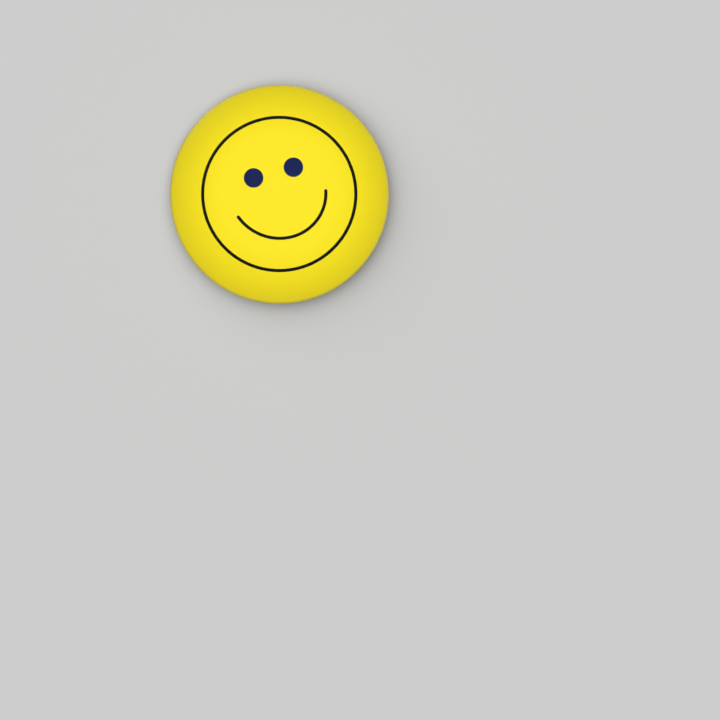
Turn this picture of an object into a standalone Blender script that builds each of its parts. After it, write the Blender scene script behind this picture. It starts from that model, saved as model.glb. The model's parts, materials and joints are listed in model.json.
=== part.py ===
"""A 25 mm button badge with a wire pin, upright as it is worn, as the pieces it comes apart into.

Blender 4.5, metres, +Z up. The origin is the middle of the flat back rim, where the badge meets the
cloth, and the face looks along -Y. The pieces are turned and bent lying on their backs: there, heights
are distances from the cloth. An empty then stands them up.
Run with: blender --background --python part.py
"""
import math

import bmesh
import bpy
from mathutils import Matrix, Vector

MM = 0.001

# The finished badge
BADGE_RADIUS = 12.7 * MM
WIDEST_HEIGHT = 1.3 * MM             # of the widest circle above the flat back rim
CROWN_RADIUS = 52.0 * MM             # nearly flat middle of the face
CROWN_EDGE = 6.6 * MM                # how far the crown reaches from the middle
SHOULDER_RADIUS = 9.4 * MM
RIM_RADIUS = 1.3 * MM                # from the shoulder to the widest circle
CURL_RADIUS = 1.1 * MM               # rolled edge, from the widest circle to the back
CURL_SWEEP = math.radians(175)

# Sheet gauges
FILM_THICKNESS = 0.05 * MM
PAPER_THICKNESS = 0.10 * MM
TINPLATE_THICKNESS = 0.25 * MM
LAYER_GAP = 0.02 * MM

# Back ring, on the middle of its sheet
RING_LIP_RADIUS = 12.0 * MM          # outer edge, trapped inside the rolled edge
RING_LIP_HEIGHT = 1.65 * MM
RING_SHOULDER_HEIGHT = 1.45 * MM
RING_WALL_RADIUS = 10.22 * MM
RING_HEM_RADIUS = 8.325 * MM
RING_HEM_HEIGHT = 0.425 * MM
GROOVE_WALL_RADIUS = 8.825 * MM
GROOVE_KNEE_HEIGHT = 1.10 * MM
GROOVE_LIP = (8.55 * MM, 1.50 * MM)

# Pin wire, on its centreline
WIRE_RADIUS = 0.35 * MM
LOOP_RADIUS = 8.3 * MM
LOOP_HEIGHT = 0.93 * MM
BEND_RADIUS = 0.9 * MM               # of both tight turns, at the leg and at the catch
LEG_HEIGHT = 1.15 * MM
LEG_Y = 2.6 * MM
LEG_PIVOT_X = -7.0 * MM
LEG_LENGTH = 14.1 * MM
POINT_LENGTH = 2.0 * MM
PIVOT_CLEARANCE = 0.05 * MM
LOOP_END = math.radians(36)          # where the loop leaves the groove for the catch
CATCH_HEIGHT = 0.40 * MM             # of the hook where it crosses the leg, on the cloth's side
CATCH_OVERLAP = 0.23 * MM            # how far short of the leg's middle the hook ends

# Facets
SEGMENTS = 40
CROWN_STEPS = 3
SHOULDER_STEPS = 5
RIM_STEPS = 2
CURL_STEPS = 6
BEND_STEP = math.radians(45)
LOOP_STEPS = 20
CATCH_STEPS = 8
POINT_SIDES = 12
WELD_DISTANCE = 0.001 * MM


def clear_scene():
    for thing in list(bpy.data.objects):
        bpy.data.objects.remove(thing, do_unlink=True)


def material(name, colour, roughness, metallic=0.0, alpha=1.0):
    made = bpy.data.materials.new(name)
    made.use_nodes = True
    shader = made.node_tree.nodes["Principled BSDF"]
    shader.inputs["Base Color"].default_value = (*colour, 1.0)
    shader.inputs["Roughness"].default_value = roughness
    shader.inputs["Metallic"].default_value = metallic
    shader.inputs["Alpha"].default_value = alpha
    made.diffuse_color = (*colour, alpha)
    return made


def turned(name, outline, finish, segments=SEGMENTS):
    """A body turned about Z from an outline of (radius, height) points.

    An outline that starts and ends on the axis stays open there; any other is closed.
    """
    bm = bmesh.new()
    points = [bm.verts.new((radius, 0, height)) for radius, height in outline]
    edges = [bm.edges.new(pair) for pair in zip(points, points[1:])]
    if outline[0][0] > 0:
        edges.append(bm.edges.new((points[-1], points[0])))
    bmesh.ops.spin(bm, geom=points + edges, cent=(0, 0, 0), axis=(0, 0, 1),
                   angle=math.tau, steps=segments, use_merge=True)
    bmesh.ops.remove_doubles(bm, verts=bm.verts, dist=WELD_DISTANCE)
    bmesh.ops.recalc_face_normals(bm, faces=bm.faces)
    mesh = bpy.data.meshes.new(name)
    bm.to_mesh(mesh)
    bm.free()
    mesh.shade_smooth()
    mesh.set_sharp_from_angle(angle=math.radians(50))
    mesh.materials.append(finish)
    made = bpy.data.objects.new(name, mesh)
    bpy.context.scene.collection.objects.link(made)
    return made


def face_arcs():
    """The face in section, from the crown to the end of the rolled edge.

    Each arc is its centre's radius and height, its own radius, its first and last tilt, and its steps.
    """
    crown_tilt = math.asin(CROWN_EDGE / CROWN_RADIUS)
    shoulder_x = (CROWN_RADIUS - SHOULDER_RADIUS) * math.sin(crown_tilt)
    rim_x = BADGE_RADIUS - RIM_RADIUS
    rim_reach = SHOULDER_RADIUS - RIM_RADIUS
    shoulder_tilt = math.asin((rim_x - shoulder_x) / rim_reach)
    shoulder_z = WIDEST_HEIGHT - rim_reach * math.cos(shoulder_tilt)
    crown_z = shoulder_z - (CROWN_RADIUS - SHOULDER_RADIUS) * math.cos(crown_tilt)
    level = math.radians(90)
    return [
        (0.0, crown_z, CROWN_RADIUS, 0.0, crown_tilt, CROWN_STEPS),
        (shoulder_x, shoulder_z, SHOULDER_RADIUS, crown_tilt, shoulder_tilt, SHOULDER_STEPS),
        (rim_x, WIDEST_HEIGHT, RIM_RADIUS, shoulder_tilt, level, RIM_STEPS),
        (BADGE_RADIUS - CURL_RADIUS, WIDEST_HEIGHT, CURL_RADIUS, level, level + CURL_SWEEP, CURL_STEPS),
    ]


def face_surface(depth):
    """(radius, height) points of the surface that lies at a depth below the face's outside."""
    points = []
    for x, z, radius, first, last, steps in face_arcs():
        for step in range(1 if points else 0, steps + 1):
            tilt = first + (last - first) * step / steps
            points.append((x + (radius - depth) * math.sin(tilt), z + (radius - depth) * math.cos(tilt)))
    return points


def face_layer(name, depth, thickness, finish):
    outer = face_surface(depth)
    inner = face_surface(depth + thickness)
    return turned(name, outer + inner[::-1], finish)


def make_film():
    finish = material("clear_film", (0.95, 0.95, 0.93), 0.28, alpha=0.2)
    return face_layer("clear_film", 0.0, FILM_THICKNESS, finish)


def make_disc():
    finish = material("printed_disc", (0.98, 0.82, 0.02), 0.6)
    return face_layer("printed_disc", FILM_THICKNESS + LAYER_GAP, PAPER_THICKNESS, finish)


def make_shell():
    finish = material("front_shell", (0.72, 0.73, 0.74), 0.32, metallic=1.0)
    depth = FILM_THICKNESS + PAPER_THICKNESS + 2 * LAYER_GAP
    return face_layer("front_shell", depth, TINPLATE_THICKNESS, finish)


def rounded(corners):
    """A polyline through (x, y, radius) corners, each corner rounded to its radius."""
    points = []
    for index, (x, y, radius) in enumerate(corners):
        corner = Vector((x, y))
        if radius == 0:
            points.append(corner)
            continue
        back = (Vector(corners[index - 1][:2]) - corner).normalized()
        ahead = (Vector(corners[index + 1][:2]) - corner).normalized()
        half = back.angle(ahead) / 2
        centre = corner + (back + ahead).normalized() * radius / math.sin(half)
        start = corner + back * radius / math.tan(half) - centre
        sweep = math.copysign(math.pi - 2 * half, -back.cross(ahead))
        steps = max(1, round(abs(sweep) / BEND_STEP))
        for step in range(steps + 1):
            place = centre + Matrix.Rotation(sweep * step / steps, 2) @ start
            if not points or (place - points[-1]).length > WELD_DISTANCE:
                points.append(place)
    return points


def sheet_outline(path, thickness):
    """The closed outline of a sheet whose middle follows a path."""
    left = []
    right = []
    for index, here in enumerate(path):
        back = (here - path[index - 1]).normalized() if index else None
        ahead = (path[index + 1] - here).normalized() if index + 1 < len(path) else None
        along = ((back or ahead) + (ahead or back)).normalized()
        side = Vector((-along.y, along.x))
        reach = thickness / 2 / along.dot(ahead or back)
        left.append(here + side * reach)
        right.append(here - side * reach)
    return [tuple(point) for point in left + right[::-1]]


def make_ring():
    """The pressed back ring: lip, wall, flat rim, hem and the groove that holds the wire."""
    rim_height = TINPLATE_THICKNESS / 2
    hem_bend = (RING_HEM_HEIGHT - rim_height) / 2
    path = rounded([
        (RING_LIP_RADIUS, RING_LIP_HEIGHT, 0),
        (RING_WALL_RADIUS, RING_SHOULDER_HEIGHT, 0.3 * MM),
        (RING_WALL_RADIUS, rim_height, 0.35 * MM),
        (RING_HEM_RADIUS, rim_height, hem_bend),
        (RING_HEM_RADIUS, RING_HEM_HEIGHT, hem_bend),
        (GROOVE_WALL_RADIUS, RING_HEM_HEIGHT, 0.2 * MM),
        (GROOVE_WALL_RADIUS, GROOVE_KNEE_HEIGHT, 0.3 * MM),
        (*GROOVE_LIP, 0),
    ])
    finish = material("back_collet", (0.70, 0.71, 0.72), 0.3, metallic=1.0)
    return turned("back_collet", sheet_outline(path, TINPLATE_THICKNESS), finish)


def arc(centre, radius, start, end, steps):
    """Points (x, y) along an arc, its start left out."""
    angles = [start + (end - start) * step / steps for step in range(1, steps + 1)]
    return [(centre[0] + radius * math.cos(a), centre[1] + radius * math.sin(a)) for a in angles]


def leg_bend():
    """The turn from the leg into the groove, stopping short of the leg's pivot."""
    reach = LOOP_RADIUS - BEND_RADIUS
    join = math.pi - math.asin((LEG_Y - BEND_RADIUS) / reach)
    centre = (reach * math.cos(join), reach * math.sin(join))
    gap = WIRE_RADIUS + PIVOT_CLEARANCE - (LEG_PIVOT_X - centre[0])
    first = math.pi / 2 + gap / BEND_RADIUS
    points = []
    for step in range(5):
        part = step / 4
        angle = first + (join - first) * part
        drop = (LEG_HEIGHT - LOOP_HEIGHT) * part * part * (3 - 2 * part)
        points.append((centre[0] + BEND_RADIUS * math.cos(angle),
                       centre[1] + BEND_RADIUS * math.sin(angle), LEG_HEIGHT - drop))
    return points, join


def catch():
    """The turn out of the groove, and the hook that the leg is sprung behind."""
    reach = LOOP_RADIUS - BEND_RADIUS
    centre = (reach * math.cos(LOOP_END), reach * math.sin(LOOP_END))
    points = [(x, y, LOOP_HEIGHT) for x, y in arc(centre, BEND_RADIUS, LOOP_END, math.pi, 7)]
    x, top, _ = points[-1]
    for step in range(1, CATCH_STEPS + 1):
        y = top + (LEG_Y + CATCH_OVERLAP - top) * step / CATCH_STEPS
        share = (top - y) / (top - LEG_Y)
        drop = (3 - 2 * share) * share ** 2
        points.append((x, y, LOOP_HEIGHT + (CATCH_HEIGHT - LOOP_HEIGHT) * drop))
    return points


def make_wire():
    """The sprung loop with its catch. Its origin is on the axis that it turns about."""
    points, join = leg_bend()
    loop = arc((0, 0), LOOP_RADIUS, join, math.tau + LOOP_END, LOOP_STEPS)
    points += [(x, y, LOOP_HEIGHT) for x, y in loop]
    points += catch()
    curve = bpy.data.curves.new("pin_wire", "CURVE")
    curve.dimensions = "3D"
    curve.bevel_depth = WIRE_RADIUS
    curve.bevel_resolution = 2
    curve.use_fill_caps = True
    spline = curve.splines.new("POLY")
    spline.points.add(len(points) - 1)
    for place, point in zip(spline.points, points):
        place.co = (*point, 1)
    curve.materials.append(material("pin_wire", (0.78, 0.77, 0.74), 0.2, metallic=1.0))
    made = bpy.data.objects.new("pin_wire", curve)
    bpy.context.scene.collection.objects.link(made)
    return made


def make_leg(wire):
    """The straight sharp leg. Its origin is where it flexes, and local Z runs to its point."""
    outline = []
    for step in range(4):
        angle = math.radians(90) * (1 - step / 3)
        outline.append((WIRE_RADIUS * math.cos(angle) if step else 0.0, -WIRE_RADIUS * math.sin(angle)))
    outline += [
        (WIRE_RADIUS, LEG_LENGTH - POINT_LENGTH),
        (0.65 * WIRE_RADIUS, LEG_LENGTH - 0.4 * POINT_LENGTH),
        (0.0, LEG_LENGTH),
    ]
    finish = material("pin_leg", (0.78, 0.77, 0.74), 0.2, metallic=1.0)
    made = turned("pin_leg", outline, finish, POINT_SIDES)
    made.parent = wire
    made.location = (LEG_PIVOT_X, LEG_Y, LEG_HEIGHT)
    made.rotation_euler = (0, math.radians(90), 0)
    return made


def main():
    clear_scene()
    upright = bpy.data.objects.new("upright", None)
    upright.rotation_euler = (math.radians(90), 0, 0)
    bpy.context.scene.collection.objects.link(upright)
    wire = make_wire()
    make_leg(wire)
    for piece in (make_film(), make_disc(), make_shell(), make_ring(), wire):
        piece.parent = upright


main()
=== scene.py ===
"""The looks of the button badge: fine surfaces, print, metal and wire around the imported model.

The badge is upright, its face towards -Y, its back rim against a pale board at Y = 0. Sections are
given as (radius, height): the distance from the badge's axis, and the distance in front of the board.
"""

import json
import math

import bmesh
import bpy
import numpy as np
from mathutils import Matrix, Vector
from mathutils.geometry import delaunay_2d_cdt


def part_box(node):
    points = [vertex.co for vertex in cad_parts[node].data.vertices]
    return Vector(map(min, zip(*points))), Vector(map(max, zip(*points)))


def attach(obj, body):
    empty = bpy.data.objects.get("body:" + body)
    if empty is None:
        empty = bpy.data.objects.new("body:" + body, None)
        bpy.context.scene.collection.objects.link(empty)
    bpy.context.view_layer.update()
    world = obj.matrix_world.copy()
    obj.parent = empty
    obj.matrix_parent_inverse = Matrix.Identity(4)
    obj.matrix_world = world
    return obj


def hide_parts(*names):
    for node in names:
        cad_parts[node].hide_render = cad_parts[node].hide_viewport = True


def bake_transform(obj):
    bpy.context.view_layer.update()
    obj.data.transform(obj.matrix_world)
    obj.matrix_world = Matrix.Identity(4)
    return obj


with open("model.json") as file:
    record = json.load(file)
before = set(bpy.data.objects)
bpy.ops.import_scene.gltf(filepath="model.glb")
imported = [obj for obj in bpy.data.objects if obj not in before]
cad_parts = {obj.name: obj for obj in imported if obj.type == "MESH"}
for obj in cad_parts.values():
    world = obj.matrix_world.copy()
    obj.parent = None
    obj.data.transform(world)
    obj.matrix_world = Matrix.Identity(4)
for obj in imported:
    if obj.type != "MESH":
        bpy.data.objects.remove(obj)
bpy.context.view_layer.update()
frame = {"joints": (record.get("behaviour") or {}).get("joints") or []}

MM = 0.001

# The face in section, as in the model
BADGE_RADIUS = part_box("clear_film")[1].x
WIDEST_HEIGHT = 1.3 * MM
CROWN_RADIUS = 52.0 * MM
CROWN_EDGE = 6.6 * MM
SHOULDER_RADIUS = 9.4 * MM
RIM_RADIUS = 1.3 * MM
CURL_RADIUS = 1.1 * MM
CURL_SWEEP = math.radians(175)
FILM_THICKNESS = 0.05 * MM
PAPER_THICKNESS = 0.10 * MM
TINPLATE_THICKNESS = 0.25 * MM
LAYER_GAP = 0.02 * MM

# The back ring in section, on the middle of its sheet
RING_LIP = (12.0 * MM, 1.65 * MM)
RING_SHOULDER = (10.22 * MM, 1.45 * MM)
RING_HEM = (8.325 * MM, 0.425 * MM)
GROOVE_WALL_RADIUS = 8.825 * MM
GROOVE_KNEE_HEIGHT = 1.10 * MM
GROOVE_LIP = (8.55 * MM, 1.50 * MM)

# The wire, on its centreline
WIRE_RADIUS = 0.35 * MM
LOOP_RADIUS = 8.3 * MM
LOOP_HEIGHT = 0.93 * MM
BEND_RADIUS = 0.9 * MM
LOOP_END = math.radians(36)
CATCH_HEIGHT = 0.40 * MM             # of the hook where it crosses the leg, on the cloth's side
CATCH_OVERLAP = 0.23 * MM            # how far short of the leg's middle the hook ends
POINT_LENGTH = 2.0 * MM
PIVOT = Vector(next(j["pos_m"] for j in frame["joints"] if j["name"] == "pin_open"))
LEG_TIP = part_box("pin_leg")[1].x
BEND_END = PIVOT.x + 1.0 * MM        # where the flexing bend becomes the straight leg
BEND_START = math.radians(172)       # where the loop becomes the flexing bend

# The print, in shares of the badge's radius
LINE_WIDTH = 0.0293
RING_LINE_RADIUS = 0.6944
DOT_TILT = math.radians(15)
DOT_PLACE = (0.1868, 0.1994)
DOT_RADIUS = 0.0887
MOUTH_CENTRE = (-0.0169, 0.0282)
MOUTH_RADII = (0.4468, 0.4234)       # the two half axes of the slightly oval arc
MOUTH_TURN = math.radians(-34)       # the turn of its longer half axis
MOUTH_ENDS = (math.radians(-111), math.radians(35.5))   # first and last angle round the oval

# The tucks in film and paper
PLEAT_COUNT = 84
PLEAT_SEED = 25
PLEAT_FADE = math.radians(70)        # the tilt over which a tuck rises to its full height

# Fineness
TURNS = 960                          # round the film and paper, for their pleats
METAL_TURNS = 240
FINE_STEPS = (6, 16, 8, 20)          # along the crown, shoulder, rim and curl
HIDDEN_STEPS = (4, 8, 5, 12)
PRINT_GRID = 0.35 * MM
WIRE_SIDES = 24
SHARP_EDGE = 40                      # degrees between faces, past which an edge is left sharp
SAME_PLACE = 0.0002 * MM

# Colours
YELLOW_INK = (0.93, 0.762, 0.011)
LINE_INK = (0.0035, 0.005, 0.006)
NAVY_INK = (0.003, 0.0115, 0.08)
BARE_PAPER = (0.86, 0.85, 0.82)
CLEAR_FILM = (0.1, 0.1, 0.1)
SHELL_TIN = (0.74, 0.75, 0.76)
RING_TIN = (0.72, 0.73, 0.74)
NICKEL = (0.78, 0.755, 0.715)
BOARD_PAINT = (0.60, 0.60, 0.598)

# The view and the board
VIEW_WIDTH = 83.13 * MM
VIEW_CENTRE = (9.296 * MM, -19.117 * MM)   # across and up from the badge's middle
LENS = 500.0
SENSOR = 36.0
BOARD_SIZE = 4.0
BOARD_GAP = 0.02 * MM                    # the board lies this far behind the badge's rim


# ---------------------------------------------------------------- sections

def face_arcs(steps):
    """The face's arcs, crown to curl: centre, radius, first and last tilt, and steps."""
    crown_tilt = math.asin(CROWN_EDGE / CROWN_RADIUS)
    shoulder_x = (CROWN_RADIUS - SHOULDER_RADIUS) * math.sin(crown_tilt)
    rim_x = BADGE_RADIUS - RIM_RADIUS
    rim_reach = SHOULDER_RADIUS - RIM_RADIUS
    shoulder_tilt = math.asin((rim_x - shoulder_x) / rim_reach)
    shoulder_z = WIDEST_HEIGHT - rim_reach * math.cos(shoulder_tilt)
    crown_z = shoulder_z - (CROWN_RADIUS - SHOULDER_RADIUS) * math.cos(crown_tilt)
    level = math.radians(90)
    return [
        (0.0, crown_z, CROWN_RADIUS, 0.0, crown_tilt, steps[0]),
        (shoulder_x, shoulder_z, SHOULDER_RADIUS, crown_tilt, shoulder_tilt, steps[1]),
        (rim_x, WIDEST_HEIGHT, RIM_RADIUS, shoulder_tilt, level, steps[2]),
        (BADGE_RADIUS - CURL_RADIUS, WIDEST_HEIGHT, CURL_RADIUS, level, level + CURL_SWEEP, steps[3]),
    ]


def face_section(depth, steps):
    """(radius, height, tilt) along the surface at a depth below the face's outside."""
    points = []
    for x, z, radius, first, last, count in face_arcs(steps):
        for step in range(1 if points else 0, count + 1):
            tilt = first + (last - first) * step / count
            reach = radius - depth
            points.append((x + reach * math.sin(tilt), z + reach * math.cos(tilt), tilt))
    return points


def on_face(radius, depth):
    """(height, tilt) of the crown or shoulder at a radius and a depth."""
    crown, shoulder = face_arcs(FINE_STEPS)[:2]
    edge = (crown[2] - depth) * math.sin(crown[4])
    x, z, reach = crown[:3] if radius < edge else shoulder[:3]
    tilt = math.asin((radius - x) / (reach - depth))
    return z + (reach - depth) * math.cos(tilt), tilt


def rounded(corners, bend_step):
    """A polyline through (x, y, radius) corners, each corner rounded to its radius."""
    points = []
    for index, (x, y, radius) in enumerate(corners):
        corner = Vector((x, y))
        if radius == 0:
            points.append(corner)
            continue
        back = (Vector(corners[index - 1][:2]) - corner).normalized()
        ahead = (Vector(corners[index + 1][:2]) - corner).normalized()
        half = back.angle(ahead) / 2
        centre = corner + (back + ahead).normalized() * radius / math.sin(half)
        start = corner + back * radius / math.tan(half) - centre
        sweep = math.copysign(math.pi - 2 * half, -back.cross(ahead))
        steps = max(1, round(abs(sweep) / bend_step))
        for step in range(steps + 1):
            place = centre + Matrix.Rotation(sweep * step / steps, 2) @ start
            if not points or (place - points[-1]).length > 0.001 * MM:
                points.append(place)
    return points


def sheet_outline(path, thickness):
    """The closed outline of a sheet whose middle follows a path."""
    left = []
    right = []
    for index, here in enumerate(path):
        back = (here - path[index - 1]).normalized() if index else None
        ahead = (path[index + 1] - here).normalized() if index + 1 < len(path) else None
        along = ((back or ahead) + (ahead or back)).normalized()
        side = Vector((-along.y, along.x))
        reach = thickness / 2 / along.dot(ahead or back)
        left.append(here + side * reach)
        right.append(here - side * reach)
    return [tuple(point) for point in left + right[::-1]]


# ---------------------------------------------------------------- meshes

def stood(radius, height, angle):
    """Points in the row frame from radii, heights and angles round the axis."""
    return np.stack([radius * np.cos(angle), -height + 0 * angle, radius * np.sin(angle)], -1)


def turned_faces(rows, turns, first=0):
    """The quads between rows of turns points each, the first row at an index."""
    ring = np.arange(turns)
    after = (ring + 1) % turns
    quads = []
    for row in range(rows - 1):
        low = first + row * turns
        high = low + turns
        quads += np.stack([low + ring, low + after, high + after, high + ring], -1).tolist()
    return quads


def mesh_from(name, points, faces, materials):
    mesh = bpy.data.meshes.new(name)
    mesh.from_pydata([tuple(point) for point in points], [], faces)
    for material in materials:
        mesh.materials.append(material)
    return mesh


def piece_from(mesh, sharp=SHARP_EDGE):
    """The piece that a mesh makes, its doubled points merged, its faces pointing out and smooth."""
    bm = bmesh.new()
    bm.from_mesh(mesh)
    bmesh.ops.remove_doubles(bm, verts=bm.verts, dist=SAME_PLACE)
    bmesh.ops.recalc_face_normals(bm, faces=bm.faces)
    bm.to_mesh(mesh)
    bm.free()
    mesh.shade_smooth()
    if sharp:
        mesh.set_sharp_from_angle(angle=math.radians(sharp))
    made = bpy.data.objects.new(mesh.name, mesh)
    bpy.context.scene.collection.objects.link(made)
    return made


def closed_turn(name, outline, turns, material):
    """A body of revolution from a closed outline of (radius, height) points."""
    angles = np.arange(turns) * math.tau / turns
    rows = list(outline) + [outline[0]]
    points = np.concatenate([stood(radius, height, angles) for radius, height in rows])
    return piece_from(mesh_from(name, points, turned_faces(len(rows), turns), [material]))


def smooth(low, high, value):
    """0 below low, 1 above high, and an S-curve between them."""
    part = np.clip((value - low) / (high - low), 0, 1)
    return part * part * (3 - 2 * part)


def pleats():
    """The small tucks that film and paper make where they are drawn in round the back."""
    rng = np.random.default_rng(PLEAT_SEED)
    places = np.arange(PLEAT_COUNT) + rng.uniform(-0.4, 0.4, PLEAT_COUNT)
    return {
        "angle": places * math.tau / PLEAT_COUNT,
        "width": rng.uniform(0.011, 0.02, PLEAT_COUNT),
        "height": rng.uniform(0.02, 0.085, PLEAT_COUNT) * MM,
        "start": np.radians(rng.uniform(92, 150, PLEAT_COUNT)),
        "lean": rng.uniform(-0.03, 0.03, PLEAT_COUNT),
    }


PLEATS = pleats()


def pleat_lift(angles, tilt):
    """How far film and paper stand off the shell at each angle, at one tilt of the section."""
    lift = np.zeros_like(angles)
    for angle, width, height, start, lean in zip(*PLEATS.values()):
        fade = smooth(start, start + PLEAT_FADE, tilt)
        if fade > 0:
            away = (angles - angle - lean * (tilt - start) + math.pi) % math.tau - math.pi
            away /= np.where(away < 0, 0.5 * width, width)      # one side of a tuck is steeper
            lift += height * fade * np.exp(-away ** 2)
    return lift


def pleated_row(radius, height, tilt, angles):
    """The points of one row round film or paper, standing off where there are tucks."""
    lift = pleat_lift(angles, tilt)
    return stood(radius + lift * math.sin(tilt), height + lift * math.cos(tilt), angles)


# ---------------------------------------------------------------- materials

def put(socket, value):
    """Links a socket to another one, or sets it to a value."""
    if isinstance(value, bpy.types.NodeSocket):
        socket.id_data.links.new(value, socket)
    else:
        socket.default_value = value


def node(tree, kind, values=(), **settings):
    """A node with its inputs set or linked, by name or by place, and its other settings."""
    made = tree.nodes.new(kind)
    for name, value in settings.items():
        setattr(made, name, value)
    pairs = values.items() if isinstance(values, dict) else enumerate(values)
    for name, value in pairs:
        put(made.inputs[name], value)
    return made


def maths(tree, operation, *values):
    return node(tree, "ShaderNodeMath", values, operation=operation).outputs[0]


def chosen(tree, flag, off, on):
    """One of two values, by a flag that is 0 or 1."""
    return node(tree, "ShaderNodeMix", {"Factor": flag, "A": off, "B": on}).outputs["Result"]


def look(name, colour, roughness, metallic=0.0, **shine):
    """A Principled material, with the places on its object in millimetres."""
    made = bpy.data.materials.new(name)
    made.use_nodes = True
    tree = made.node_tree
    shader = tree.nodes["Principled BSDF"]
    put(shader.inputs["Base Color"], (*colour, 1.0))
    put(shader.inputs["Roughness"], roughness)
    put(shader.inputs["Metallic"], metallic)
    for socket, value in shine.items():
        put(shader.inputs[socket.replace("_", " ")], value)
    place = node(tree, "ShaderNodeTexCoord").outputs["Object"]
    scaled = node(tree, "ShaderNodeVectorMath", {0: place, "Scale": 1 / MM}, operation="SCALE")
    return made, tree, shader, scaled.outputs[0]


def noise(tree, place, scale, detail=3.0, roughness=0.5):
    values = {"Vector": place, "Scale": scale, "Detail": detail, "Roughness": roughness}
    return node(tree, "ShaderNodeTexNoise", values).outputs["Fac"]


def ranged(tree, value, start, end, first, last):
    """A value between start and end, moved to lie as far from first to last."""
    values = {"Value": value, "From Min": start, "From Max": end, "To Min": first, "To Max": last}
    return node(tree, "ShaderNodeMapRange", values).outputs[0]


def spread(tree, value, low, high):
    """A noise value, which lies mostly between 0.3 and 0.7, spread between two limits."""
    return ranged(tree, value, 0.3, 0.7, low, high)


def bump(tree, height, distance, normal=None):
    """The normal of a surface that rises by up to a distance, over another normal if one is given."""
    values = {"Height": height, "Distance": distance, "Strength": 1.0}
    if normal is not None:
        values["Normal"] = normal
    return node(tree, "ShaderNodeBump", values).outputs[0]


def tinted(tree, colour, share):
    """A colour made lighter or darker by a share that varies over the surface."""
    scaled = node(tree, "ShaderNodeVectorMath", {0: colour, "Scale": share}, operation="SCALE")
    return scaled.outputs[0]


def printed(name, colour, mottled):
    """Ink on coated paper under clear film: fibres, ink mottle and the film's faint ripple."""
    shine = {"Specular_IOR_Level": 0.2, "Coat_Weight": 0.4, "Coat_Roughness": 0.3}
    made, tree, shader, place = look(name, colour, 0.62, **shine)
    if mottled:
        share = spread(tree, noise(tree, place, 1.7, 5.0, 0.6), 0.988, 1.012)
        put(shader.inputs["Base Color"], tinted(tree, colour, share))
    put(shader.inputs["Roughness"], spread(tree, noise(tree, place, 6.0), 0.55, 0.7))
    fibres = bump(tree, noise(tree, place, 9.0, 6.0, 0.65), 0.0008 * MM)
    put(shader.inputs["Normal"], fibres)
    put(shader.inputs["Coat Normal"], bump(tree, noise(tree, place, 0.9, 2.0), 0.006 * MM))
    return made


def white_paper():
    """The bare back of the paper: uneven fibres."""
    made, tree, shader, place = look("paper_white", BARE_PAPER, 0.85)
    share = spread(tree, noise(tree, place, 5.0), 0.96, 1.02)
    put(shader.inputs["Base Color"], tinted(tree, BARE_PAPER, share))
    put(shader.inputs["Normal"], bump(tree, noise(tree, place, 14.0, 6.0, 0.7), 0.006 * MM))
    return made


def film_look():
    """Clear film, seen only by its soft reflections."""
    made, tree, shader, place = look("polyester_film", CLEAR_FILM, 0.2, Alpha=0.015)
    put(shader.inputs["Roughness"], spread(tree, noise(tree, place, 1.2), 0.16, 0.26))
    put(shader.inputs["Normal"], bump(tree, noise(tree, place, 0.9, 2.0), 0.01 * MM))
    return made


def tinplate(name, colour, roughness, circular):
    """Bright tinned steel: rolling lines along X, or press marks that run round the axis."""
    made, tree, shader, place = look(name, colour, roughness, 1.0)
    axes = node(tree, "ShaderNodeSeparateXYZ", [place]).outputs
    if circular:
        squares = [maths(tree, "MULTIPLY", axes[i], axes[i]) for i in (0, 2)]
        radius = maths(tree, "SQRT", maths(tree, "ADD", *squares))
        turn = maths(tree, "ARCTAN2", axes[2], axes[0])
        streak_axes = ((radius, 26.0), (axes[1], 26.0), (turn, 1.5))
    else:
        streak_axes = ((axes[0], 0.06), (axes[1], 0.3), (axes[2], 7.0))
    stretched = [maths(tree, "MULTIPLY", axis, scale) for axis, scale in streak_axes]
    streaks = noise(tree, node(tree, "ShaderNodeCombineXYZ", stretched).outputs[0], 1.0, 4.0, 0.6)
    clouds = noise(tree, place, 0.55, 4.0, 0.55)
    share = maths(tree, "MULTIPLY", spread(tree, clouds, 0.93, 1.03), spread(tree, streaks, 0.96, 1.03))
    put(shader.inputs["Base Color"], tinted(tree, colour, share))
    worn = maths(tree, "ADD", spread(tree, streaks, -0.05, 0.06), spread(tree, clouds, -0.05, 0.07))
    put(shader.inputs["Roughness"], maths(tree, "ADD", worn, roughness))
    fine = bump(tree, streaks, 0.0008 * MM)
    put(shader.inputs["Normal"], bump(tree, noise(tree, place, 0.5, 2.0), 0.012 * MM, fine))
    return made


def plated_wire(name):
    """Nickel on drawn wire: lines along its length, and a few duller spots."""
    made, tree, shader, place = look(name, NICKEL, 0.2, 1.0)
    around = node(tree, "ShaderNodeUVMap", uv_map="along_wire").outputs[0]
    stretched = node(tree, "ShaderNodeVectorMath", {0: around, 1: (26.0, 0.45, 1.0)}, operation="MULTIPLY")
    lines = noise(tree, stretched.outputs[0], 1.0, 3.0, 0.6)
    spots = noise(tree, place, 1.6, 4.0, 0.6)
    share = maths(tree, "MULTIPLY", spread(tree, spots, 0.9, 1.03), spread(tree, lines, 0.95, 1.02))
    put(shader.inputs["Base Color"], tinted(tree, NICKEL, share))
    worn = maths(tree, "ADD", spread(tree, spots, 0.13, 0.26), spread(tree, lines, -0.02, 0.05))
    put(shader.inputs["Roughness"], worn)
    put(shader.inputs["Normal"], bump(tree, lines, 0.003 * MM))
    return made


# ---------------------------------------------------------------- the face

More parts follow.
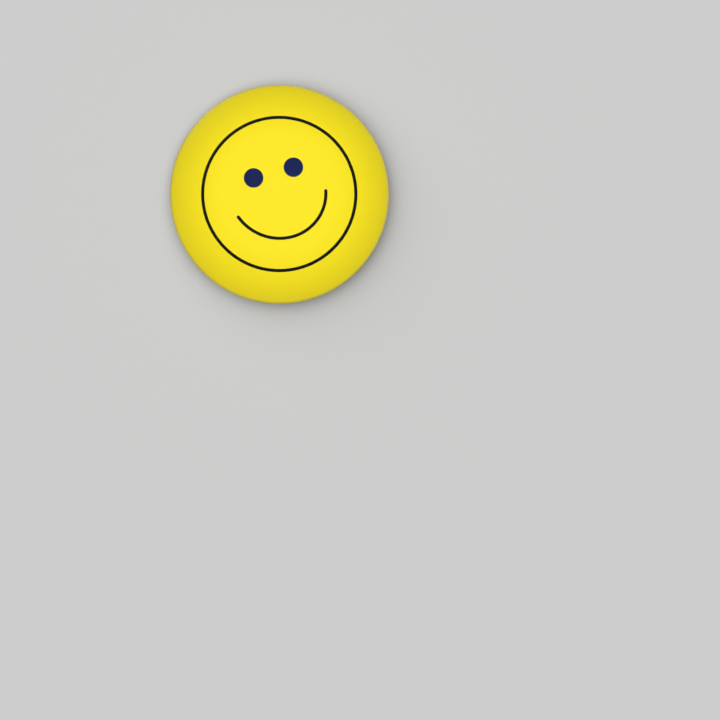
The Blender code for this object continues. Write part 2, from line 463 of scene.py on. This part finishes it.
def make_film():
    """The clear film over the print, drawn in round the back."""
    angles = np.arange(TURNS) * math.tau / TURNS
    outer = face_section(0.0, FINE_STEPS)
    inner = face_section(FILM_THICKNESS, FINE_STEPS)
    rows = outer + inner[::-1]
    points = np.concatenate([pleated_row(*row, angles) for row in rows])
    film = piece_from(mesh_from("film", points, turned_faces(len(rows), TURNS), [film_look()]))
    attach(film, "badge")
    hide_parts("clear_film")
    return film


def circle(centre, radius, count):
    """Points round a flat circle."""
    angles = np.arange(count) * math.tau / count
    return np.stack([centre[0] + radius * np.cos(angles), centre[1] + radius * np.sin(angles)], -1)


def turned(points, angle):
    """Flat points turned about the badge's middle."""
    return points @ np.array([[math.cos(angle), math.sin(angle)], [-math.sin(angle), math.cos(angle)]])


def dot_centres():
    """The two dots, level with each other on the tilted face."""
    places = [np.array([side * DOT_PLACE[0], DOT_PLACE[1]]) for side in (-1, 1)]
    return [turned(place, DOT_TILT) * BADGE_RADIUS for place in places]


def mouth_outline():
    """The outline of the mouth: an oval arc of one width with round ends."""
    across, along = np.array(MOUTH_RADII) * BADGE_RADIUS
    half = LINE_WIDTH / 2 * BADGE_RADIUS
    sweep = np.linspace(*MOUTH_ENDS, 90)
    middle = np.stack([across * np.cos(sweep), along * np.sin(sweep)], -1)
    outwards = np.stack([along * np.cos(sweep), across * np.sin(sweep)], -1)
    outwards /= np.linalg.norm(outwards, axis=1)[:, None]
    caps = []
    for end, first in ((-1, 0.0), (0, math.pi)):
        turn = math.atan2(*outwards[end][::-1]) + first + np.linspace(0, math.pi, 11)[1:-1]
        caps.append(middle[end] + half * np.stack([np.cos(turn), np.sin(turn)], -1))
    outline = np.concatenate([middle + half * outwards, caps[0], (middle - half * outwards)[::-1], caps[1]])
    return np.array(MOUTH_CENTRE) * BADGE_RADIUS + turned(outline, MOUTH_TURN)


def inside(points, outline):
    """Which points lie inside a closed outline."""
    x, y = points[:, :1], points[:, 1:]
    ahead = np.roll(outline, -1, 0)
    crosses = (outline[:, 1] > y) != (ahead[:, 1] > y)
    rise = np.where(ahead[:, 1] == outline[:, 1], 1, ahead[:, 1] - outline[:, 1])
    meets = outline[:, 0] + (y - outline[:, 1]) / rise * (ahead[:, 0] - outline[:, 0])
    return (np.sum(crosses & (x < meets), 1) % 2).astype(bool)


def flat_print(edge):
    """The print inside the ring, flat: its points, triangles, and the ink of each triangle."""
    outlines = [circle(centre, DOT_RADIUS * BADGE_RADIUS, 96) for centre in dot_centres()]
    outlines.append(mouth_outline())
    grid = []
    reach = int(BADGE_RADIUS / PRINT_GRID)
    for row in range(-reach, reach + 1):
        for column in range(-reach, reach + 1):
            grid.append(((column + 0.5 * (row % 2)) * PRINT_GRID, row * PRINT_GRID * math.sqrt(3) / 2))
    grid = np.array(grid)
    drawn = np.concatenate([edge] + outlines)
    apart = np.min(np.linalg.norm(grid[:, None] - drawn[None], axis=2), 1) > 0.4 * PRINT_GRID
    within = np.hypot(*grid.T) < np.hypot(*edge[0])
    grid = grid[apart & within]
    lines = []
    first = 0
    for outline in [edge] + outlines:
        count = len(outline)
        lines += [(first + i, first + (i + 1) % count) for i in range(count)]
        first += count
    places = np.concatenate([drawn, grid]) / MM
    flat, _, triangles, *_ = delaunay_2d_cdt([Vector(p) for p in places], lines, [], 0, 1e-6)
    flat = np.array([tuple(p) for p in flat]) * MM
    middles = flat[np.array(triangles)].mean(1)
    ink = np.zeros(len(triangles), int)
    for outline, number in zip(outlines, (2, 2, 1)):
        ink[inside(middles, outline)] = number
    return flat, triangles, ink


def make_print():
    """The paper disc. Its inks are 0 yellow, 1 line black, 2 navy, and 3 is bare paper."""
    depth = FILM_THICKNESS + LAYER_GAP
    line_in = (RING_LINE_RADIUS - LINE_WIDTH / 2) * BADGE_RADIUS
    line_out = (RING_LINE_RADIUS + LINE_WIDTH / 2) * BADGE_RADIUS
    angles = np.arange(TURNS) * math.tau / TURNS
    flat, triangles, ink = flat_print(circle((0, 0), line_in, TURNS))
    heights = np.array([on_face(radius, depth) for radius in np.hypot(*flat.T)])
    middle = np.stack([flat[:, 0], -heights[:, 0], flat[:, 1]], -1)

    outer = [(radius, *on_face(radius, depth)) for radius in (line_in, line_out)]
    outer += [row for row in face_section(depth, FINE_STEPS) if row[0] > line_out * 1.01 or row[2] > 1]
    inner = face_section(depth + PAPER_THICKNESS, HIDDEN_STEPS)[::-1]
    rows = outer + inner
    points = np.concatenate([middle] + [pleated_row(*row, angles) for row in rows])
    faces = list(triangles) + turned_faces(len(rows), TURNS, len(middle))
    inks = np.concatenate([ink, np.repeat([1] + [0] * (len(outer) - 2) + [3] * len(inner), TURNS)])
    materials = [
        printed("ink_yellow", YELLOW_INK, mottled=True),
        printed("ink_line", LINE_INK, mottled=False),
        printed("ink_navy", NAVY_INK, mottled=False),
        white_paper(),
    ]
    mesh = mesh_from("print", points, faces, materials)
    mesh.polygons.foreach_set("material_index", inks.astype(np.int32))
    disc = piece_from(mesh, sharp=0)
    round_off(disc.data, line_out, depth)
    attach(disc, "badge")
    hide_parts("printed_disc")
    return disc


def round_off(mesh, radius, depth):
    """Gives the printed middle the true normals of the dome, whatever its triangles."""
    normals = []
    for vertex, normal in zip(mesh.vertices, mesh.vertex_normals):
        x, y, z = vertex.co
        out = math.hypot(x, z)
        if out < radius and normal.vector.y < 0:
            tilt = on_face(out, depth)[1]
            spin = math.atan2(z, x)
            side = math.sin(tilt)
            normals.append((side * math.cos(spin), -math.cos(tilt), side * math.sin(spin)))
        else:
            normals.append(tuple(normal.vector))
    mesh.normals_split_custom_set_from_vertices(normals)


def make_shell():
    """The domed tinplate shell under the paper."""
    depth = FILM_THICKNESS + PAPER_THICKNESS + 2 * LAYER_GAP
    outer = face_section(depth, FINE_STEPS)
    inner = face_section(depth + TINPLATE_THICKNESS, FINE_STEPS)
    angles = np.arange(METAL_TURNS) * math.tau / METAL_TURNS
    rows = outer + inner[::-1]
    points = np.concatenate([stood(radius, height, angles) for radius, height, _ in rows])
    metal = tinplate("shell_metal", SHELL_TIN, 0.3, circular=False)
    shell = piece_from(mesh_from("shell", points, turned_faces(len(rows), METAL_TURNS), [metal]))
    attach(shell, "badge")
    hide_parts("front_shell")
    return shell


def make_ring():
    """The pressed back ring: lip, shoulder, flat rim, hem and groove wall, as one bent sheet."""
    rim = TINPLATE_THICKNESS / 2
    hem_bend = (RING_HEM[1] - rim) / 2
    path = rounded([
        (*RING_LIP, 0),
        (*RING_SHOULDER, 0.3 * MM),
        (RING_SHOULDER[0], rim, 0.35 * MM),
        (RING_HEM[0], rim, hem_bend),
        (*RING_HEM, hem_bend),
        (GROOVE_WALL_RADIUS, RING_HEM[1], 0.2 * MM),
        (GROOVE_WALL_RADIUS, GROOVE_KNEE_HEIGHT, 0.3 * MM),
        (*GROOVE_LIP, 0),
    ], math.radians(10))
    metal = tinplate("ring_metal", RING_TIN, 0.24, circular=True)
    ring = closed_turn("ring", sheet_outline(path, TINPLATE_THICKNESS), METAL_TURNS, metal)
    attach(ring, "badge")
    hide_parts("back_collet")
    return ring


# ---------------------------------------------------------------- the wire

def arc(centre, radius, start, end, steps):
    """Points along a flat arc, both ends with it."""
    angles = np.linspace(start, end, steps + 1)
    return np.stack([centre[0] + radius * np.cos(angles), centre[1] + radius * np.sin(angles)], -1)


def upright(flat, heights):
    """Route points from places on the badge's back and heights in front of the board."""
    return [Vector((x, -height, z)) for (x, z), height in zip(flat, heights)]


def bend_join():
    """The angle round the badge where the leg's bend meets the loop."""
    return math.pi - math.asin((PIVOT.z - BEND_RADIUS) / (LOOP_RADIUS - BEND_RADIUS))


def leg_bend():
    """From the straight leg, through the bend, to where the loop takes over."""
    reach = LOOP_RADIUS - BEND_RADIUS
    join = bend_join()
    centre = (reach * math.cos(join), reach * math.sin(join))
    straight = [(x, PIVOT.z) for x in np.linspace(BEND_END, centre[0], 25)[:-1]]
    turn = arc(centre, BEND_RADIUS, math.pi / 2, join, 24)
    level = -PIVOT.y
    heights = [level] * len(straight)
    heights += list(level - (level - LOOP_HEIGHT) * smooth(0, 1, np.linspace(0, 1, len(turn))))
    rest = arc((0, 0), LOOP_RADIUS, join, BEND_START, 6)[1:]
    heights += [LOOP_HEIGHT] * len(rest)
    return upright(list(straight) + list(turn) + list(rest), heights)


def loop_and_catch():
    """From the end of the bend round the groove, out of it, and round to the hook's end."""
    loop = arc((0, 0), LOOP_RADIUS, BEND_START, math.tau + LOOP_END, 150)
    reach = LOOP_RADIUS - BEND_RADIUS
    centre = (reach * math.cos(LOOP_END), reach * math.sin(LOOP_END))
    turn = arc(centre, BEND_RADIUS, LOOP_END, math.pi, 36)[1:]
    x, top = turn[-1]
    down = np.linspace(top, PIVOT.z + CATCH_OVERLAP, 31)[1:]
    drop = smooth(0, 1, (top - down) / (top - PIVOT.z))
    flat = list(loop) + list(turn) + [(x, z) for z in down]
    heights = [LOOP_HEIGHT] * (len(loop) + len(turn))
    heights += list(LOOP_HEIGHT + (CATCH_HEIGHT - LOOP_HEIGHT) * drop)
    return upright(flat, heights)


def wire_along(name, route, radii, metal):
    """A round wire along a route, with a radius at each point, closed at both ends."""
    ahead = [(b - a).normalized() for a, b in zip(route, route[1:])]
    along = [ahead[0]] + [(a + b).normalized() for a, b in zip(ahead, ahead[1:])] + [ahead[-1]]
    side = along[0].cross(Vector((0, 1, 0))).normalized()
    points = []
    lengths = [0.0]
    for index, (place, way) in enumerate(zip(route, along)):
        side = (side - way * side.dot(way)).normalized()
        up = way.cross(side)
        for step in range(WIRE_SIDES):
            angle = math.tau * step / WIRE_SIDES
            points.append(place + (side * math.cos(angle) + up * math.sin(angle)) * radii[index])
        if index:
            lengths.append(lengths[-1] + (place - route[index - 1]).length)
    faces = turned_faces(len(route), WIRE_SIDES)
    last = len(points) - WIRE_SIDES
    faces += [list(range(WIRE_SIDES))[::-1], list(range(last, last + WIRE_SIDES))]
    mesh = mesh_from(name, points, faces, [metal])
    lay_along(mesh, lengths)
    return piece_from(mesh)


def lay_along(mesh, lengths):
    """Gives a wire's mesh its map: the share of the way round it, and the length along it in mm."""
    uv = mesh.uv_layers.new(name="along_wire")
    for face in mesh.polygons:
        places = [vertex % WIRE_SIDES for vertex in face.vertices]
        wraps = len(places) == 4 and {0, WIRE_SIDES - 1} <= set(places)
        for corner, vertex, around in zip(face.loop_indices, face.vertices, places):
            if wraps and around == 0:
                around = WIRE_SIDES
            uv.data[corner].uv = (around / WIRE_SIDES, lengths[vertex // WIRE_SIDES] / MM)


def cut_end(route):
    """A route whose last stretch holds a small rounded edge, and the radii for it."""
    edge = 0.06 * MM
    way = (route[-1] - route[-2]).normalized()
    end = route[-1]
    radii = [WIRE_RADIUS] * (len(route) - 1)
    route = route[:-1]
    for share in (0.0, 0.35, 0.7, 1.0):
        route.append(end - way * edge * (1 - share))
        radii.append(WIRE_RADIUS - edge * (1 - math.sqrt(1 - share * share)))
    return route, radii


def ground(share):
    """The leg's radius along its ground point, from 1 where it starts to a tiny flat."""
    return max(0.03, 1 - 0.35 * smooth(0.0, 0.6, share) * share - 0.65 * share ** 2.2)


def make_wire():
    """The pin's wire in three pieces: loop with catch, flexing bend, and leg with its point."""
    metal = plated_wire("wire_metal")
    route, radii = cut_end(loop_and_catch())
    loop = wire_along("wire_loop", route, radii, metal)
    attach(loop, "pin_wire")
    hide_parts("pin_wire")

    route = leg_bend()
    bend = wire_along("wire_bend", route, [WIRE_RADIUS] * len(route), metal)
    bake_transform(bend)

    shoulder = LEG_TIP - POINT_LENGTH
    places = list(np.linspace(BEND_END, shoulder, 12)) + list(np.linspace(shoulder, LEG_TIP, 25)[1:])
    radii = [WIRE_RADIUS * ground(max(0.0, (x - shoulder) / POINT_LENGTH)) for x in places]
    leg = wire_along("wire_leg", [Vector((x, PIVOT.y, PIVOT.z)) for x in places], radii, metal)
    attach(leg, "pin_leg")
    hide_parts("pin_leg")
    return loop, bend, leg


# ---------------------------------------------------------------- the stage

def make_board():
    """The pale board behind the badge. It isn't seen from behind, and it shades nothing."""
    half = BOARD_SIZE / 2
    mesh = bpy.data.meshes.new("board")
    corners = [(-half, -half), (half, -half), (half, half), (-half, half)]
    mesh.from_pydata([(x, BOARD_GAP, z) for x, z in corners], [], [(0, 1, 2, 3)])
    made = bpy.data.materials.new("board_paint")
    made.use_nodes = True
    tree = made.node_tree
    shader = tree.nodes["Principled BSDF"]
    put(shader.inputs["Base Color"], (*BOARD_PAINT, 1))
    put(shader.inputs["Roughness"], 0.9)
    put(shader.inputs["Specular IOR Level"], 0.0)
    behind = node(tree, "ShaderNodeNewGeometry").outputs["Backfacing"]
    clear = node(tree, "ShaderNodeBsdfTransparent").outputs[0]
    both = node(tree, "ShaderNodeMixShader", [behind, shader.outputs[0], clear])
    put(tree.nodes["Material Output"].inputs["Surface"], both.outputs[0])
    mesh.materials.append(made)
    board = bpy.data.objects.new("board", mesh)
    bpy.context.scene.collection.objects.link(board)
    board.visible_shadow = False
    board.visible_glossy = False
    board.visible_diffuse = False
    return board


def light(name, kind, direction):
    """A light that shines along a direction and isn't seen itself."""
    data = bpy.data.lights.new(name, kind)
    made = bpy.data.objects.new(name, data)
    made.rotation_mode = "QUATERNION"
    made.rotation_quaternion = Vector(direction).to_track_quat("-Z", "Y")
    made.visible_camera = False
    bpy.context.scene.collection.objects.link(made)
    return made


def sun(name, direction, strength, angle, receivers):
    """A broad soft light, the size of an angle, that only some objects receive."""
    made = light(name, "SUN", direction)
    made.data.energy = strength
    made.data.angle = math.radians(angle)
    made.visible_glossy = False
    group = bpy.data.collections.new("lit_by_" + name)
    for receiver in receivers:
        group.objects.link(receiver)
    made.light_linking.receiver_collection = group
    return made


def softbox(name, place, size, brightness):
    """A box that metal mirrors, its brightness that of its face."""
    made = light(name, "AREA", -Vector(place))
    made.location = place
    made.data.shape = "RECTANGLE"
    made.data.size, made.data.size_y = size
    made.data.energy = brightness * math.pi * size[0] * size[1]
    made.visible_diffuse = False


def reach_first_only(made):
    """Keeps a light from what is lit by way of another surface."""
    made.data.use_nodes = True
    tree = made.data.node_tree
    depth = node(tree, "ShaderNodeLightPath").outputs["Ray Depth"]
    put(tree.nodes["Emission"].inputs["Strength"], maths(tree, "LESS_THAN", depth, 1.5))


def make_lights(pieces, board):
    """A soft key in front and one behind, a slanting one for the board, and boxes for the metal."""
    sun("key", (0, 1, 0), 3.22, 60, pieces)
    sun("slant", (0.34, 1.0, -0.32), 3.1, 110, [board])
    reach_first_only(sun("back", (-0.3, -1.0, -0.45), 1.1, 40, pieces))
    softbox("back_left", (-0.30, 0.30, 0.32), (0.30, 0.20), 1.3)
    softbox("back_right", (0.40, 0.34, -0.06), (0.16, 0.36), 1.0)


def make_world():
    """Pale to look at, with a band of light that grazes the badge's edge from behind.

    Glossy surfaces mirror a sky that is dim in front of the badge and brighter behind and above it.
    """
    world = bpy.data.worlds.new("studio")
    bpy.context.scene.world = world
    world.use_nodes = True
    tree = world.node_tree
    path = node(tree, "ShaderNodeLightPath").outputs
    way = node(tree, "ShaderNodeTexCoord").outputs["Generated"]
    axes = node(tree, "ShaderNodeSeparateXYZ", [way]).outputs
    behind = ranged(tree, axes[1], -0.05, 0.5, 0.1, 0.5)
    above = ranged(tree, axes[2], -0.6, 0.8, 0.35, 1.25)
    mirrored = maths(tree, "MULTIPLY", behind, above)
    beside = maths(tree, "ABSOLUTE", maths(tree, "SUBTRACT", axes[1], 0.65))
    rim = ranged(tree, beside, 0.12, 0.32, 1.15, 0.0)
    first = maths(tree, "LESS_THAN", path["Ray Depth"], 2.5)
    fill = maths(tree, "ADD", 0.12, maths(tree, "MULTIPLY", rim, first))
    lit = chosen(tree, path["Is Glossy Ray"], fill, mirrored)
    strength = chosen(tree, path["Is Camera Ray"], lit, 0.60)
    put(tree.nodes["Background"].inputs["Color"], (1, 1, 1, 1))
    put(tree.nodes["Background"].inputs["Strength"], strength)


def make_camera():
    """A long lens straight in front, the badge up and to the left of the middle."""
    data = bpy.data.cameras.new("camera")
    data.lens = LENS
    data.sensor_width = SENSOR
    distance = VIEW_WIDTH * LENS / SENSOR
    data.clip_start = 0.01
    data.clip_end = 100
    camera = bpy.data.objects.new("camera", data)
    camera.location = (VIEW_CENTRE[0], -distance - WIDEST_HEIGHT, VIEW_CENTRE[1])
    camera.rotation_euler = (math.radians(90), 0, 0)
    bpy.context.scene.collection.objects.link(camera)
    bpy.context.scene.camera = camera


make_camera()
pieces = [make_film(), make_print(), make_shell(), make_ring(), *make_wire()]
make_lights(pieces, make_board())
make_world()
bpy.context.scene.view_settings.view_transform = "Standard"
